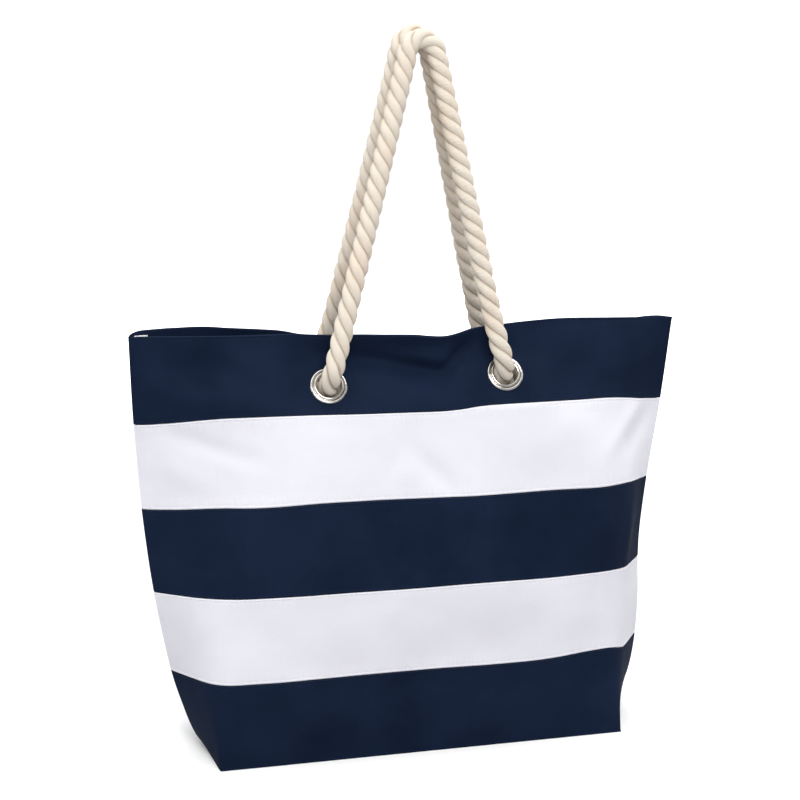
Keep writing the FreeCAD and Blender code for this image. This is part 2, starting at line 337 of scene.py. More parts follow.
def canvas(name, colour, worn_highlight, shadow, rough, gloss, crumple=0.0):
    """Satin-faced cotton canvas. Its edges are a little worn and carry a painted highlight, and its colour
    is painted with soft patches of shade and sheen.
    """
    material, tree, principled = shader(name)
    weave = add(tree, "Group", {"Cloth": cloth_place(tree), "Threads": THREADS}, node_tree=WEAVE)
    marks = add(tree, "Group", node_tree=SEAM_MARKS)
    place = object_place(tree)
    # painted shade and sheen: soft patches mix the cloth's colour with its darker shadow colour
    mottle = noise_texture(tree, place, 14.0, 4.0)
    painted_shade_patches = mixed(tree, shadow, colour, mapped(tree, mottle, 0.36, 0.62))
    tint = mapped(tree, weave.outputs["Slub"], 0.0, 1.0, 0.975, 1.025)
    thread = mixed(tree, painted_shade_patches, tint, 1.0, how="MULTIPLY")
    # the sewn edge's colour is lighter: wear together with a painted highlight along the fold
    wear_and_highlight = mixed(tree, thread, worn_highlight, math_node(tree, "MULTIPLY", marks.outputs["Fold"], 0.55))
    creases = None
    if crumple:
        creases = relief(tree, noise_texture(tree, place, 14.0, 1.5, 0.45), crumple, 1.0)
    pucker = relief(tree, marks.outputs["Pucker"], 0.0012, 0.5, creases)
    feed(tree, principled, {
        "Base Color": wear_and_highlight,
        "Roughness": mapped(tree, mottle, 0.0, 1.0, rough - 0.06, rough + 0.06),
        "Normal": relief(tree, weave.outputs["Height"], 0.00012, 0.45, pucker),
        "Specular IOR Level": gloss,
    })
    return material


def twisted_cotton(name, light, groove_shade, streaks, slant):
    """Yarns laid side by side in a strand. Grooves between the strands are darker and warmer: painted shade.
    """
    material, tree, principled = shader(name)
    axes = split_axes(tree, cloth_place(tree))
    place = object_place(tree)
    along = math_node(tree, "MULTIPLY", axes["Y"], slant)
    round_strand = math_node(tree, "ADD", axes["X"], along)
    shift = math_node(tree, "MULTIPLY", noise_texture(tree, place, 110.0, 2.0), 0.10)
    phase = math_node(tree, "ADD", round_strand, shift)
    yarn = math_node(tree, "SINE", math_node(tree, "MULTIPLY", phase, 2 * math.pi * streaks))
    fibre = noise_texture(tree, place, 420.0, 3.0)
    blotch = noise_texture(tree, place, 30.0, 2.0)
    warmer = (light[0] * 0.97, light[1] * 0.92, light[2] * 0.90)
    raw = mixed(tree, light, warmer, mapped(tree, blotch, 0.45, 0.65))
    # painted shade: the grooves between strands are mixed towards a darker colour
    base = mixed(tree, raw, groove_shade, stored(tree, "groove"))
    shade = math_node(tree, "ADD", math_node(tree, "MULTIPLY", yarn, 0.05),
                      math_node(tree, "MULTIPLY", blotch, 0.16))
    feed(tree, principled, {
        "Base Color": mixed(tree, base, math_node(tree, "ADD", shade, 0.90), 1.0, how="MULTIPLY"),
        "Roughness": mapped(tree, fibre, 0.0, 1.0, 0.78, 0.95),
        "Normal": relief(tree, fibre, 0.0004, 0.3, relief(tree, yarn, 0.0006, 0.55)),
        "Specular IOR Level": 0.2,
        "Sheen Weight": 0.15,
    })
    return material


def bright_nickel():
    """Bright nickel plate with fine rubbed marks and a few duller places."""
    material, tree, principled = shader("nickel")
    marks = noise_texture(tree, object_place(tree), 260.0, 4.0)
    dull = mapped(tree, marks, 0.35, 0.75)
    feed(tree, principled, {
        "Base Color": mixed(tree, (0.60, 0.585, 0.56), (0.48, 0.46, 0.42), dull),
        "Metallic": 1.0,
        "Roughness": mapped(tree, marks, 0.0, 1.0, 0.07, 0.20),
        "Normal": relief(tree, marks, 0.00008, 0.15),
    })
    return material


# Each cloth's shadow colour is the painted shade in its soft patches; its worn colour, at sewn edges, is
# wear with a painted highlight.
NAVY = canvas("navy_canvas", colour=(0.0090, 0.0165, 0.0395), worn_highlight=(0.016, 0.024, 0.046),
              shadow=(0.0062, 0.0120, 0.0292), rough=0.50, gloss=0.018, crumple=0.0065)
WHITE = canvas("white_canvas", colour=(0.748, 0.745, 0.795), worn_highlight=(0.83, 0.83, 0.87),
               shadow=(0.722, 0.717, 0.772), rough=0.60, gloss=0.12, crumple=0.0055)
TAPE = canvas("seam_tape", colour=(0.80, 0.80, 0.80), worn_highlight=(0.84, 0.84, 0.83),
              shadow=(0.74, 0.73, 0.72), rough=0.75, gloss=0.10)
# The darker colours are the painted shade in the grooves between strands.
COTTON = twisted_cotton("cotton_rope", light=(0.81, 0.735, 0.625), groove_shade=(0.46, 0.34, 0.23),
                        streaks=20, slant=20.0)
TWINE = twisted_cotton("twine", light=(0.66, 0.56, 0.42), groove_shade=(0.34, 0.24, 0.15),
                       streaks=3, slant=0.0)
NICKEL = bright_nickel()
NAVY_THREAD = canvas("navy_thread", colour=(0.0090, 0.0160, 0.0400), worn_highlight=(0.016, 0.024, 0.050),
                     shadow=(0.0070, 0.0130, 0.0340), rough=0.70, gloss=0.05)
WHITE_THREAD = canvas("white_thread", colour=(0.76, 0.75, 0.82), worn_highlight=(0.86, 0.86, 0.92),
                      shadow=(0.72, 0.71, 0.79), rough=0.70, gloss=0.12)


# ---- Ropes ----
# Control points of each rope's middle line. It starts at the knot behind the left eyelet, comes out
# through the bore, bends up at the pivot, and goes down again to the knot behind the right eyelet.
FRONT_ROUTE = [
    (-0.0826, -0.0272, 0.3344), (-0.0826, -0.0478, 0.3468), (-0.0752, -0.0430, 0.3700),
    (-0.0062, -0.0126, 0.6220), (-0.0035, -0.0106, 0.6372), (0.0085, -0.0100, 0.6445),
    (0.0212, -0.0106, 0.6365), (0.0236, -0.0126, 0.6215), (0.0718, -0.0426, 0.3741),
    (0.0808, -0.0454, 0.3507), (0.0815, -0.0248, 0.3383),
]
BACK_ROUTE = [
    (-0.0770, 0.0248, 0.3383), (-0.0770, 0.0454, 0.3507), (-0.0660, 0.0427, 0.3735),
    (-0.0087, 0.0126, 0.6190), (-0.0062, 0.0106, 0.6395), (0.0060, 0.0100, 0.6500),
    (0.0190, 0.0106, 0.6395), (0.0243, 0.0126, 0.6190), (0.0800, 0.0426, 0.3738),
    (0.0880, 0.0454, 0.3507), (0.0880, 0.0248, 0.3383),
]
ROUTES = {"front": FRONT_ROUTE, "back": BACK_ROUTE}


def spline_points(route):
    """Points along the smooth spline that has a route's points as its control points."""
    curve = bpy.data.curves.new("route", "CURVE")
    curve.dimensions = "3D"
    curve.resolution_u = 40
    spline = curve.splines.new("NURBS")
    spline.points.add(len(route) - 1)
    for point, place in zip(spline.points, route):
        point.co = (*place, 1)
    spline.order_u = 3
    spline.use_endpoint_u = True
    holder = bpy.data.objects.new("route", curve)
    bpy.context.collection.objects.link(holder)
    mesh = bpy.data.meshes.new_from_object(holder.evaluated_get(bpy.context.evaluated_depsgraph_get()))
    points = [vert.co.copy() for vert in mesh.vertices]
    bpy.data.objects.remove(holder)
    bpy.data.curves.remove(curve)
    bpy.data.meshes.remove(mesh)
    return points


def evenly(points, spacing):
    """The same line as points one spacing apart, and its length."""
    lengths = lengths_along(points)
    count = max(2, round(lengths[-1] / spacing))
    found = []
    i = 0
    for n in range(count + 1):
        at = lengths[-1] * n / count
        while i < len(points) - 2 and lengths[i + 1] < at:
            i += 1
        run = max(lengths[i + 1] - lengths[i], 1e-9)
        found.append(points[i].lerp(points[i + 1], min((at - lengths[i]) / run, 1.0)))
    return found, lengths[-1]


def carried_frames(points):
    """A tangent and a normal at each point, with the normal carried along without twist."""
    tangents = []
    for i in range(len(points)):
        before = points[max(i - 1, 0)]
        after = points[min(i + 1, len(points) - 1)]
        tangents.append((after - before).normalized())
    normal = tangents[0].orthogonal().normalized()
    frames = []
    for i, tangent in enumerate(tangents):
        if i:
            normal = tangents[i - 1].rotation_difference(tangent) @ normal
            normal = (normal - tangent * normal.dot(tangent)).normalized()
        frames.append((tangent, normal, tangent.cross(normal)))
    return frames


def tube(centres, ring, section, groove=None):
    """A closed tube through the centres. section(i, turn) gives the offset of a point on ring i, and
    groove(turn) how deep in a groove it lies, which sets the painted shade there."""
    rows = lengths_along(centres)
    bm = grid([c / ring for c in range(ring + 1)], rows)
    # each point keeps how deep in a groove it lies, for the painted shade there
    groove_shade = bm.verts.layers.float.new("groove")
    for vert in bm.verts:
        i, turn = nearest(rows, vert.co.y), vert.co.x
        if groove:
            vert[groove_shade] = groove(turn)
        vert.co = centres[i] + section(i, turn)
    bmesh.ops.remove_doubles(bm, verts=bm.verts, dist=1e-7)
    bmesh.ops.holes_fill(bm, edges=[e for e in bm.edges if e.is_boundary], sides=0)
    bmesh.ops.recalc_face_normals(bm, faces=bm.faces)
    return bm


def joined(parts):
    """Several meshes as one."""
    whole = bmesh.new()
    for part in parts:
        mesh = bpy.data.meshes.new("part")
        part.to_mesh(mesh)
        part.free()
        whole.from_mesh(mesh)
        bpy.data.meshes.remove(mesh)
    return whole


STRAND_OUT = 0.0048      # from the rope's centre to a strand's
STRAND_DEEP = 0.0044     # half a strand's thickness, across the rope
STRAND_WIDE = 0.0048     # half its width, round the rope: strands are pressed against each other
LOOSER_END = (0.07, 0.30)            # shares of a handle's length over which its lay tightens
UNEVEN_STRAND = 0.03     # share by which a strand swells and thins
GROOVE_SHADE = (0.22, 0.74)    # how far in the painted groove shade starts, and where it is darkest


def laid_rope(points, spacing=0.0022, ring=20, size=1.0, tighter=0.0):
    """Three strands laid left-handed round a line, the line and its length. The lay is tighter away
    from the two ends."""
    line, length = evenly(points, spacing)
    frames = carried_frames(line)
    turns = [0.0]
    for i in range(1, len(line)):
        from_end = min(i, len(line) - 1 - i) / (len(line) - 1)
        lay = LAY * (1 - tighter * smoothstep(*LOOSER_END, from_end))
        turns.append(turns[-1] + length / (len(line) - 1) / lay)
    strands = []
    for strand in range(3):
        centres, around = [], []
        for i, (point, (_, normal, side)) in enumerate(zip(line, frames)):
            angle = 2 * math.pi * (strand / 3 - turns[i])
            outward = normal * math.cos(angle) + side * math.sin(angle)
            centres.append(point + outward * STRAND_OUT * size)
            around.append(outward)
        runs = carried_frames(centres)

        def section(i, turn):
            tangent = runs[i][0]
            outward = (around[i] - tangent * around[i].dot(tangent)).normalized()
            across = tangent.cross(outward)
            a = 2 * math.pi * turn
            uneven = 1 + UNEVEN_STRAND * noise.noise(Vector((i * 0.09, strand * 7.3, 0)))
            offset = outward * math.cos(a) * STRAND_DEEP + across * math.sin(a) * STRAND_WIDE
            return offset * size * uneven

        # depth in a groove, which sets the painted shade there
        def groove(turn):
            return smoothstep(*GROOVE_SHADE, 0.5 - 0.5 * math.cos(2 * math.pi * turn)) ** 0.8

        strands.append(tube(centres, ring, section, groove))
    return joined(strands), line, length


LEANS_IN, LEANS_UP = 0.115, 0.993    # the rope's direction above its bend
BENDS = 0.010            # how far from the pivot the rope bends as it swings


def handle(side):
    bm, line, length = laid_rope(spline_points(ROUTES[side]), tighter=TIGHTER_LAY)
    rope = new_piece(side + "_rope", bm, COTTON)
    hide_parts(side + "_handle_rope")
    up = Vector((0, -SIDES[side] * LEANS_IN, LEANS_UP))
    bend = (facing(side) + up).normalized() * BENDS
    pivot = pivot_line(side)
    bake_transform(rope, "bag", side + "_handle", start=pivot - bend, end=pivot + bend)
    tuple(ROUTES[side][0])
    [tuple(p) for p in line]


for side in SIDES:
    handle(side)


# ---- Cloth body ----
# How far each side seam stands out past the base's corner, by share of the height.
LEFT_FLARE = ((0.0, 0.0060), (0.03, 0.0138), (0.086, 0.0224), (0.195, 0.0348), (0.395, 0.0487),
              (0.60, 0.0574), (0.80, 0.0622), (1.0, 0.0643))
RIGHT_FLARE = ((0.0, 0.0095), (0.03, 0.0210), (0.086, 0.0318), (0.17, 0.0385), (0.28, 0.0412),
               (0.39, 0.0403), (0.47, 0.0414), (0.605, 0.0476), (0.80, 0.0592), (1.0, 0.0684))
# Distance of a panel from the bag's middle plane, by height above the ground: between the eyelets,
# and in line with one, where the cloth is flat and leans with the eyelet.
PANEL_DEPTH = ((0.0, 0.0690), (0.077, 0.0685), (0.154, 0.0660), (0.2329, 0.0600), (0.3138, 0.0501),
               (0.3480, 0.0345), (0.3700, 0.0265), (0.3900, 0.0220))
EYELET_DEPTH = PANEL_DEPTH[:5] + (
    (0.3200, 0.04635), (0.3300, 0.04034), (0.3430, 0.03253), (0.3560, 0.02472), (0.3610, 0.0228),
    (0.3720, 0.0220), (0.3900, 0.0222))
# Height above the ground, by cloth height: in the middle and at the side seams.
PANEL_RISE = ((0.0, 0.0), (0.079, 0.0790), (0.158, 0.1575), (0.2365, 0.2360), (0.3145, 0.3140),
              (0.3480, 0.3430), (0.3700, 0.3632), (0.3935, 0.3855))
SEAM_RISE = ((0.0, 0.0), (0.079, 0.0760), (0.158, 0.1530), (0.2365, 0.2305), (0.3145, 0.3085),
             (0.3935, 0.3850))
# The bands' edges aren't quite level: how far the cloth is raised, by place across, for each edge
# from the first seam up to the rim.
FRONT_DRIFT = (
    (0.079, ((-0.26, -0.0020), (-0.19, -0.0030), (-0.15, -0.0020), (-0.10, -0.0008), (0.0, -0.0006),
             (0.06, -0.0014), (0.13, -0.0008), (0.175, 0.0004), (0.192, -0.0012), (0.213, -0.0050),
             (0.24, -0.0042), (0.26, -0.0030))),
    (0.158, ((-0.26, -0.0030), (-0.21, -0.0030), (-0.17, -0.0038), (-0.12, -0.0022), (0.0, -0.0012),
             (0.08, -0.0008), (0.15, -0.0022), (0.19, -0.0030), (0.215, -0.0034), (0.26, -0.0020))),
    (0.2365, ((-0.26, -0.0026), (-0.23, -0.0026), (-0.19, -0.0024), (-0.15, -0.0012), (-0.10, 0.0022),
              (-0.06, 0.0024), (0.0, 0.0013), (0.05, 0.0003), (0.12, 0.0003), (0.15, -0.0004),
              (0.18, -0.0014), (0.22, 0.0), (0.26, 0.0))),
    (0.3145, ((-0.26, -0.0030), (-0.23, -0.0022), (-0.19, -0.0009), (-0.15, 0.0010), (-0.12, 0.0020),
              (-0.09, 0.0024), (-0.04, 0.0013), (0.016, 0.0004), (0.035, 0.0012), (0.055, 0.0034),
              (0.08, 0.0041), (0.13, 0.0036), (0.18, 0.0021), (0.205, 0.0014), (0.23, 0.0002),
              (0.26, -0.0020))),
    (0.3935, ((-0.26, 0.0), (-0.23, 0.0008), (-0.19, 0.0008), (-0.117, 0.0004), (-0.078, -0.0018),
              (-0.04, -0.0020), (-0.005, -0.0034), (0.012, -0.0058), (0.027, -0.0066),
              (0.040, -0.0040), (0.053, -0.0004), (0.085, 0.0026), (0.135, 0.0048), (0.19, 0.0028),
              (0.26, 0.0))),
)
BACK_DRIFT = (
    (0.3145, ((-0.26, -0.0020), (-0.15, 0.0020), (0.0, 0.0), (0.15, 0.0020), (0.26, -0.0020))),
    (0.3640, ((-0.26, 0.0), (-0.19, 0.0020), (-0.12, -0.0010), (0.0, -0.0030), (0.12, -0.0020),
              (0.26, 0.0))),
    (0.3935, ((-0.26, 0.0), (-0.2575, 0.0026), (-0.250, 0.0050), (-0.240, 0.0052), (-0.21, 0.0046),
              (-0.185, 0.0036), (-0.165, 0.0014), (-0.14, -0.0006), (-0.115, -0.0030),
              (-0.095, -0.0070), (0.0, -0.0130), (0.035, -0.0145), (0.085, -0.0100),
              (0.135, -0.0060), (0.19, -0.0050), (0.225, 0.0006), (0.245, 0.0020), (0.26, 0.0))),
)
DRIFTS = {"front": FRONT_DRIFT, "back": BACK_DRIFT}


def drift(side, across, up):
    """How far the cloth is raised at a place across and up the panel."""
    lines = DRIFTS[side]
    rows = [(0.0, 0.0)] + [(level, between(table, across)) for level, table in lines]
    i = min(max(bisect.bisect_right([row[0] for row in rows], up) - 1, 0), len(rows) - 2)
    share = (up - rows[i][0]) / (rows[i + 1][0] - rows[i][0])
    return rows[i][1] + (rows[i + 1][1] - rows[i][1]) * min(share, 1.0)


# Soft dents and swells: place across, height, angle in degrees, half length, half width, and
# distance out of the cloth.
FRONT_SHAPE = (
    (-0.024, 0.3550, -12, 0.048, 0.0085, -0.0100),
    (0.010, 0.3470, -12, 0.022, 0.0085, -0.0085),
    (0.036, 0.3570, 46, 0.022, 0.0060, -0.0080),
    (-0.002, 0.3860, 0, 0.052, 0.0120, 0.0150),
    (-0.030, 0.2700, 60, 0.030, 0.0120, -0.0016),
    (0.008, 0.2620, -48, 0.030, 0.0100, -0.0024),
    (-0.208, 0.3290, -8, 0.028, 0.0110, 0.0026),
    (-0.190, 0.2880, -17, 0.045, 0.0080, -0.0024),
    (-0.212, 0.2620, -24, 0.030, 0.0120, 0.0022),
    (-0.208, 0.3600, 5, 0.026, 0.0110, -0.0024),
    (-0.160, 0.3480, -35, 0.030, 0.0100, -0.0028),
    (0.211, 0.2920, 42, 0.034, 0.0070, 0.0025),
    (0.226, 0.2790, 42, 0.028, 0.0110, -0.0042),
    (0.222, 0.1900, 80, 0.028, 0.0090, 0.0040),
    (0.150, 0.3450, 75, 0.030, 0.0150, -0.0020),
    (0.120, 0.2500, 40, 0.060, 0.0220, -0.0014),
    (-0.060, 0.1900, -30, 0.080, 0.0250, 0.0013),
    (0.060, 0.1050, 20, 0.080, 0.0220, -0.0012),
    (-0.140, 0.0450, 85, 0.040, 0.0160, 0.0010),
)
BACK_SHAPE = (
    (0.010, 0.3600, 0, 0.050, 0.0120, -0.0060),
    (-0.180, 0.2900, 20, 0.050, 0.0110, -0.0026),
    (0.200, 0.3000, -30, 0.040, 0.0120, -0.0026),
    (0.120, 0.2300, 60, 0.060, 0.0200, 0.0018),
    (-0.090, 0.1500, -25, 0.080, 0.0220, -0.0016),
    (0.060, 0.0800, 15, 0.080, 0.0200, 0.0012),
)
SHAPES = {"front": FRONT_SHAPE, "back": BACK_SHAPE}
EYELET_ACROSS, EYELET_UP = 0.0825, 0.343
SMOOTH_BY_EYELET = 0.030
SMOOTH_BY_SEAM = 0.030
SOFT_WAVES, FINE_WAVES = 0.0027, 0.0007
HELD_BY_BASE, HELD_BY_SEAM = 0.06, 0.05      # how far from them the waves reach their full height


def swell(side, across, height):
    """How far the cloth stands out at a place: its dents and swells, and low waves all over."""
    to_seam = HALF_WIDTH - abs(across)
    total = 0.0
    for x, z, angle, half_length, half_width, out in SHAPES[side]:
        c, s = math.cos(math.radians(angle)), math.sin(math.radians(angle))
        a = ((across - x) * c + (height - z) * s) / half_length
        b = (-(across - x) * s + (height - z) * c) / half_width
        far = a * a + b * b
        if far < 12:
            total += out * math.exp(-far)
    soft = noise.noise(Vector((across * 9, height * 11, 3.1 * SIDES[side])))
    fine = noise.noise(Vector((across * 26, height * 22, 7.7 * SIDES[side])))
    held = smoothstep(0.0, HELD_BY_BASE, height) * smoothstep(0.0, HELD_BY_SEAM, to_seam)
    from_eyelet = (abs(abs(across) - EYELET_ACROSS) + abs(height - EYELET_UP)) / SMOOTH_BY_EYELET
    total *= smoothstep(0.0, SMOOTH_BY_SEAM, to_seam)
    return (total + (SOFT_WAVES * soft + FINE_WAVES * fine) * held) * smoothstep(0.5, 1.0, from_eyelet)


SAG_REACH = 0.02         # how far in from the base's corner the side seam's sag is felt
EYELET_FLAT = (0.020, 0.055)         # how far across an eyelet keeps the cloth flat, and is felt
PANEL_ROUND = 0.085      # how far in from its crease a panel bends
HOLLOW = 0.0015          # how far a side is drawn in between its crease and its seam
# How far a crease is rounded: at the base, and what is added low down and by the rim.
CREASE_SOFT, SOFTER_LOW, SOFTER_HIGH = 0.003, 0.018, 0.024
SPREAD = (-1.0, -0.75, -0.5, -0.25, 0.0, 0.25, 0.5, 0.75, 1.0)


def flare_table(across):
    return LEFT_FLARE if across < 0 else RIGHT_FLARE


def body_point(side, across, up):
    """A point of the outer face, from its place on the flat cloth: across from the middle, and up."""
    wide = abs(across)
    rise = between(PANEL_RISE, up)
    sag = (between(SEAM_RISE, up) - rise) * smoothstep(HALF_BASE - SAG_REACH, HALF_WIDTH, wide)
    z = rise + sag + drift(side, across, up)
    share = min(z / RIM_Z, 1.0)
    flare = between(flare_table(across), share)
    crease = math.sqrt(max(HALF_DEPTH ** 2 - flare ** 2, 1e-6))
    by_eyelet = 1 - smoothstep(*EYELET_FLAT, abs(wide - EYELET_ACROSS))
    middle = between(PANEL_DEPTH, z) * (1 - by_eyelet) + between(EYELET_DEPTH, z) * by_eyelet
    soft = CREASE_SOFT + SOFTER_LOW * smoothstep(0.0, 0.2, share) + SOFTER_HIGH * smoothstep(0.2, 1.0, share)

    def section(at):
        """Place across and depth of the level section, before its crease is rounded."""
        if at <= HALF_BASE:
            return at, crease + (middle - crease) * smoothstep(0.0, PANEL_ROUND, HALF_BASE - at)
        part = min((at - HALF_BASE) / HALF_DEPTH, 1.0)
        hollow = HOLLOW * math.sin(math.pi * part) * smoothstep(0.0, 0.1, share)
        return HALF_BASE + flare * part, crease * (1 - part) - hollow

    if up <= 0 or wide > HALF_WIDTH - 1e-6:
        x, depth = section(wide)
    else:
        reach = min(soft, HALF_WIDTH - wide)
        x, depth = 0.0, 0.0
        for step in SPREAD:
            near_x, near_depth = section(abs(wide + step * reach))
            x += near_x / len(SPREAD)
            depth += near_depth / len(SPREAD)
        if wide < soft:
            x = wide
    return Vector((math.copysign(x, across), SIDES[side] * (depth + swell(side, across, z)), z))


def seam_profile(edge):
    """How far the cloth stands out beside a sewn edge: a valley, a ridge, and the stitches' groove."""
    valley = -0.00055 * math.exp(-(edge / 0.0006) ** 2)
    ridge = 0.00030 * math.exp(-((edge - 0.0013) / 0.0006) ** 2)
    groove = -0.00022 * math.exp(-((edge - 0.0026) / 0.0005) ** 2)
    return valley + ridge + groove


MESH_STEP = 0.0048
BEFORE_CREASE = (0.0075, 0.0035, 0.0)
PAST_CREASE = (0.0025, 0.0060, 0.0110, 0.0170, 0.0230, 0.0290, 0.0350, 0.0410, 0.0470, 0.0530,
               0.0585, 0.0630, 0.0660, 0.0678)


def cloth_columns():
    """Places across the cloth: finer at the creases and by the side seams."""
    half = [0.0]
    while half[-1] < HALF_BASE - 0.012:
        half.append(half[-1] + MESH_STEP)
    half += [HALF_BASE - step for step in BEFORE_CREASE]
    half += [HALF_BASE + step for step in PAST_CREASE] + [HALF_WIDTH]
    return [-place for place in reversed(half[1:])] + half


EDGE_STEPS = (0.0, 0.0006, 0.0013, 0.0020, 0.0026, 0.0033, 0.0046)


def band_rows(low, high):
    """Heights of a band's rows: finer by its two sewn edges."""
    rows = [low + step for step in EDGE_STEPS]
    inner = (high - low) - 2 * EDGE_STEPS[-1]
    count = round(inner / MESH_STEP)
    rows += [low + EDGE_STEPS[-1] + inner * n / count for n in range(1, count)]
    rows += [high - step for step in reversed(EDGE_STEPS)]
    return rows


def finished_cloth(piece, thickness):
    """Gives a cloth its thickness, inwards, and smooths it."""
    solid = piece.modifiers.new("thickness", "SOLIDIFY")
    solid.thickness = thickness
    solid.offset = -1
    fine = piece.modifiers.new("smooth", "SUBSURF")
    fine.levels = 1
    fine.render_levels = 1


def face_outwards(bm, side):
    """Turns a panel's faces to the bag's outside."""
    bmesh.ops.recalc_face_normals(bm, faces=bm.faces)
    if sum(face.normal.y for face in bm.faces) * SIDES[side] < 0:
        bmesh.ops.reverse_faces(bm, faces=bm.faces)
    bm.normal_update()


HOLE_R = BORE_R + 0.0010             # the cloth's edge is hidden under the eyelet
BY_BORE = 0.025          # only cloth this near belongs to an eyelet


def cut_bores(bm, side):
    """Takes out the cloth inside each eyelet, and draws the hole's edge on to a circle."""
    out = facing(side)
    for hand in HANDS:
        centre = eyelet_centre(side, hand)

        def parted(place):
            """A place's distance along the eyelet's axis, offset from it, and if it is near."""
            off = place - centre
            along = off.dot(out)
            return along, off - out * along, off.length < BY_BORE

        gone = []
        for face in bm.faces:
            _, flat, near = parted(face.calc_center_median())
            if near and flat.length < HOLE_R:
                gone.append(face)
        bmesh.ops.delete(bm, geom=gone, context="FACES")
        for vert in bm.verts:
            along, flat, near = parted(vert.co)
            if near and vert.is_boundary and flat.length > 1e-6:
                vert.co = centre + out * along + flat.normalized() * HOLE_R


def sew_band(side, index):
    name = BANDS[index]
    low, high = EDGES[index], EDGES[index + 1]
    bm = grid(cloth_columns(), band_rows(low, high))
    edge = bm.verts.layers.float.new("edge")
    for vert in bm.verts:
        across, up = vert.co.x, vert.co.y
        # The bottom band runs on under the bag, so its lower edge is no seam.
        vert[edge] = min(up - low if index else high, high - up, HALF_WIDTH - abs(across))
        vert.co = body_point(side, across, up)
    if index == 0:
        bm = joined([bm, half_base(side)])
        bmesh.ops.remove_doubles(bm, verts=bm.verts, dist=0.0002)
    face_outwards(bm, side)
    edge = bm.verts.layers.float["edge"]
    for vert in bm.verts:
        vert.co += vert.normal * seam_profile(vert[edge])
    if name == "top_band":
        cut_bores(bm, side)
    piece = new_piece(side + "_" + name + "_cloth", bm, WHITE if "white" in name else NAVY)
    finished_cloth(piece, CANVAS)
    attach(piece, "bag")
    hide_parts(side + "_" + name)
    "white_canvas" if "white" in name else "navy_canvas"


def half_base(side):
    """The bottom band's cloth under the bag, from the base's edge to its middle seam."""
    columns = [c for c in cloth_columns() if abs(c) <= HALF_BASE + 1e-9]
    steps = [c - HALF_BASE for c in cloth_columns() if c >= HALF_BASE - 1e-9]
    steps.insert(1, EDGE_STEPS[1])
    bm = grid(columns, steps)
    edge = bm.verts.layers.float.new("edge")
    for vert in bm.verts:
        across, under = vert.co.x, vert.co.y
        vert[edge] = max(HALF_DEPTH - under, 0.0)
        # Only the base's ends bulge.
        bulge = between(flare_table(across), 0.0) * under / HALF_DEPTH
        x = across + math.copysign(bulge, across) * (abs(across) / HALF_BASE) ** 8
        vert.co = Vector((x, SIDES[side] * (HALF_DEPTH - under), 0))
    return bm


for side in SIDES:
    for index in range(len(BANDS)):
        sew_band(side, index)


# ---- Facings behind the top bands ----
FACING_WIDTH = 0.985     # of the band's width
FACING_EDGES = (EDGES[4] + 0.002, EDGES[5] - 0.0004)
FACING_GAP = 0.0002


def sew_facing(side):
    low, high = FACING_EDGES
    bm = grid([c * FACING_WIDTH for c in cloth_columns()], band_rows(low, high))
    edge = bm.verts.layers.float.new("edge")
    for vert in bm.verts:
        across, up = vert.co.x, vert.co.y
        vert[edge] = min(up - low, high - up)
        vert.co = body_point(side, across, up)
    face_outwards(bm, side)
    for vert in bm.verts:
        vert.co -= vert.normal * (CANVAS + FACING_GAP)
    cut_bores(bm, side)
    piece = new_piece(side + "_facing_cloth", bm, NAVY)
    finished_cloth(piece, CANVAS)
    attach(piece, "bag")
    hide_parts(side + "_facing")


for side in SIDES:
    sew_facing(side)


# ---- Stitches ----
STITCH = 0.0030
STITCH_GAP = 0.0011
STITCH_HALF_THICK = (0.00030, 0.00022)   # up the cloth, and out of it
STITCH_SUNK = 0.00012
STITCH_MARGIN = 0.004    # left free at each side seam
SEAM_ROW = 0.0026        # from a seam to its stitches, on the white cloth's side
RIM_ROW = 0.0032
FACING_ROW = 0.0034
BESIDE = 0.0015          # how far off the cloth is looked at to find which way it faces


def stitches(name, side, up, colour):
    """A row of stitches round one panel, a fixed height up the cloth."""
    parts = bmesh.new()
    across = -HALF_WIDTH + STITCH_MARGIN
    while across < HALF_WIDTH - STITCH_MARGIN:
        here = body_point(side, across, up)
        along = (body_point(side, across + BESIDE, up) - here).normalized()
        rise = (body_point(side, across, up + BESIDE) - here).normalized()
        out = along.cross(rise).normalized()
        if out.y * SIDES[side] < 0:
            out = -out
        turn = Matrix((along, out.cross(along), out)).transposed().to_4x4()
        size = Matrix.Diagonal((STITCH / 2, *STITCH_HALF_THICK, 1))
        place = Matrix.Translation(here - out * STITCH_SUNK) @ turn @ size
        bmesh.ops.create_icosphere(parts, subdivisions=1, radius=1, matrix=place)
        across += STITCH + STITCH_GAP
    piece = new_piece(name, parts, colour)
    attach(piece, "bag")


def sew_rows():
    for side in SIDES:
        for index in range(1, 5):
            white_above = "white" in BANDS[index]
            up = EDGES[index] + (SEAM_ROW if white_above else -SEAM_ROW)
            stitches(side + "_seam_stitches_" + str(index), side, up, WHITE_THREAD)
        stitches(side + "_rim_stitches", side, EDGES[5] - RIM_ROW, NAVY_THREAD)
        stitches(side + "_facing_stitches", side, EDGES[4] + FACING_ROW, NAVY_THREAD)


sew_rows()


# ---- Seam tape inside the bag ----
TAPE_WIDE = 0.012        # folded
TAPE_FOLD = 0.0006       # half the thickness of what it is folded over
TAPE_CLOTH = 0.0005
TAPE_FLAT = 0.4          # share of the tape that is on each side of the fold
TAPE_WAVE, TAPE_WAVES = 0.0004, 160.0    # height, and how close together
TAPE_STEPS = 14


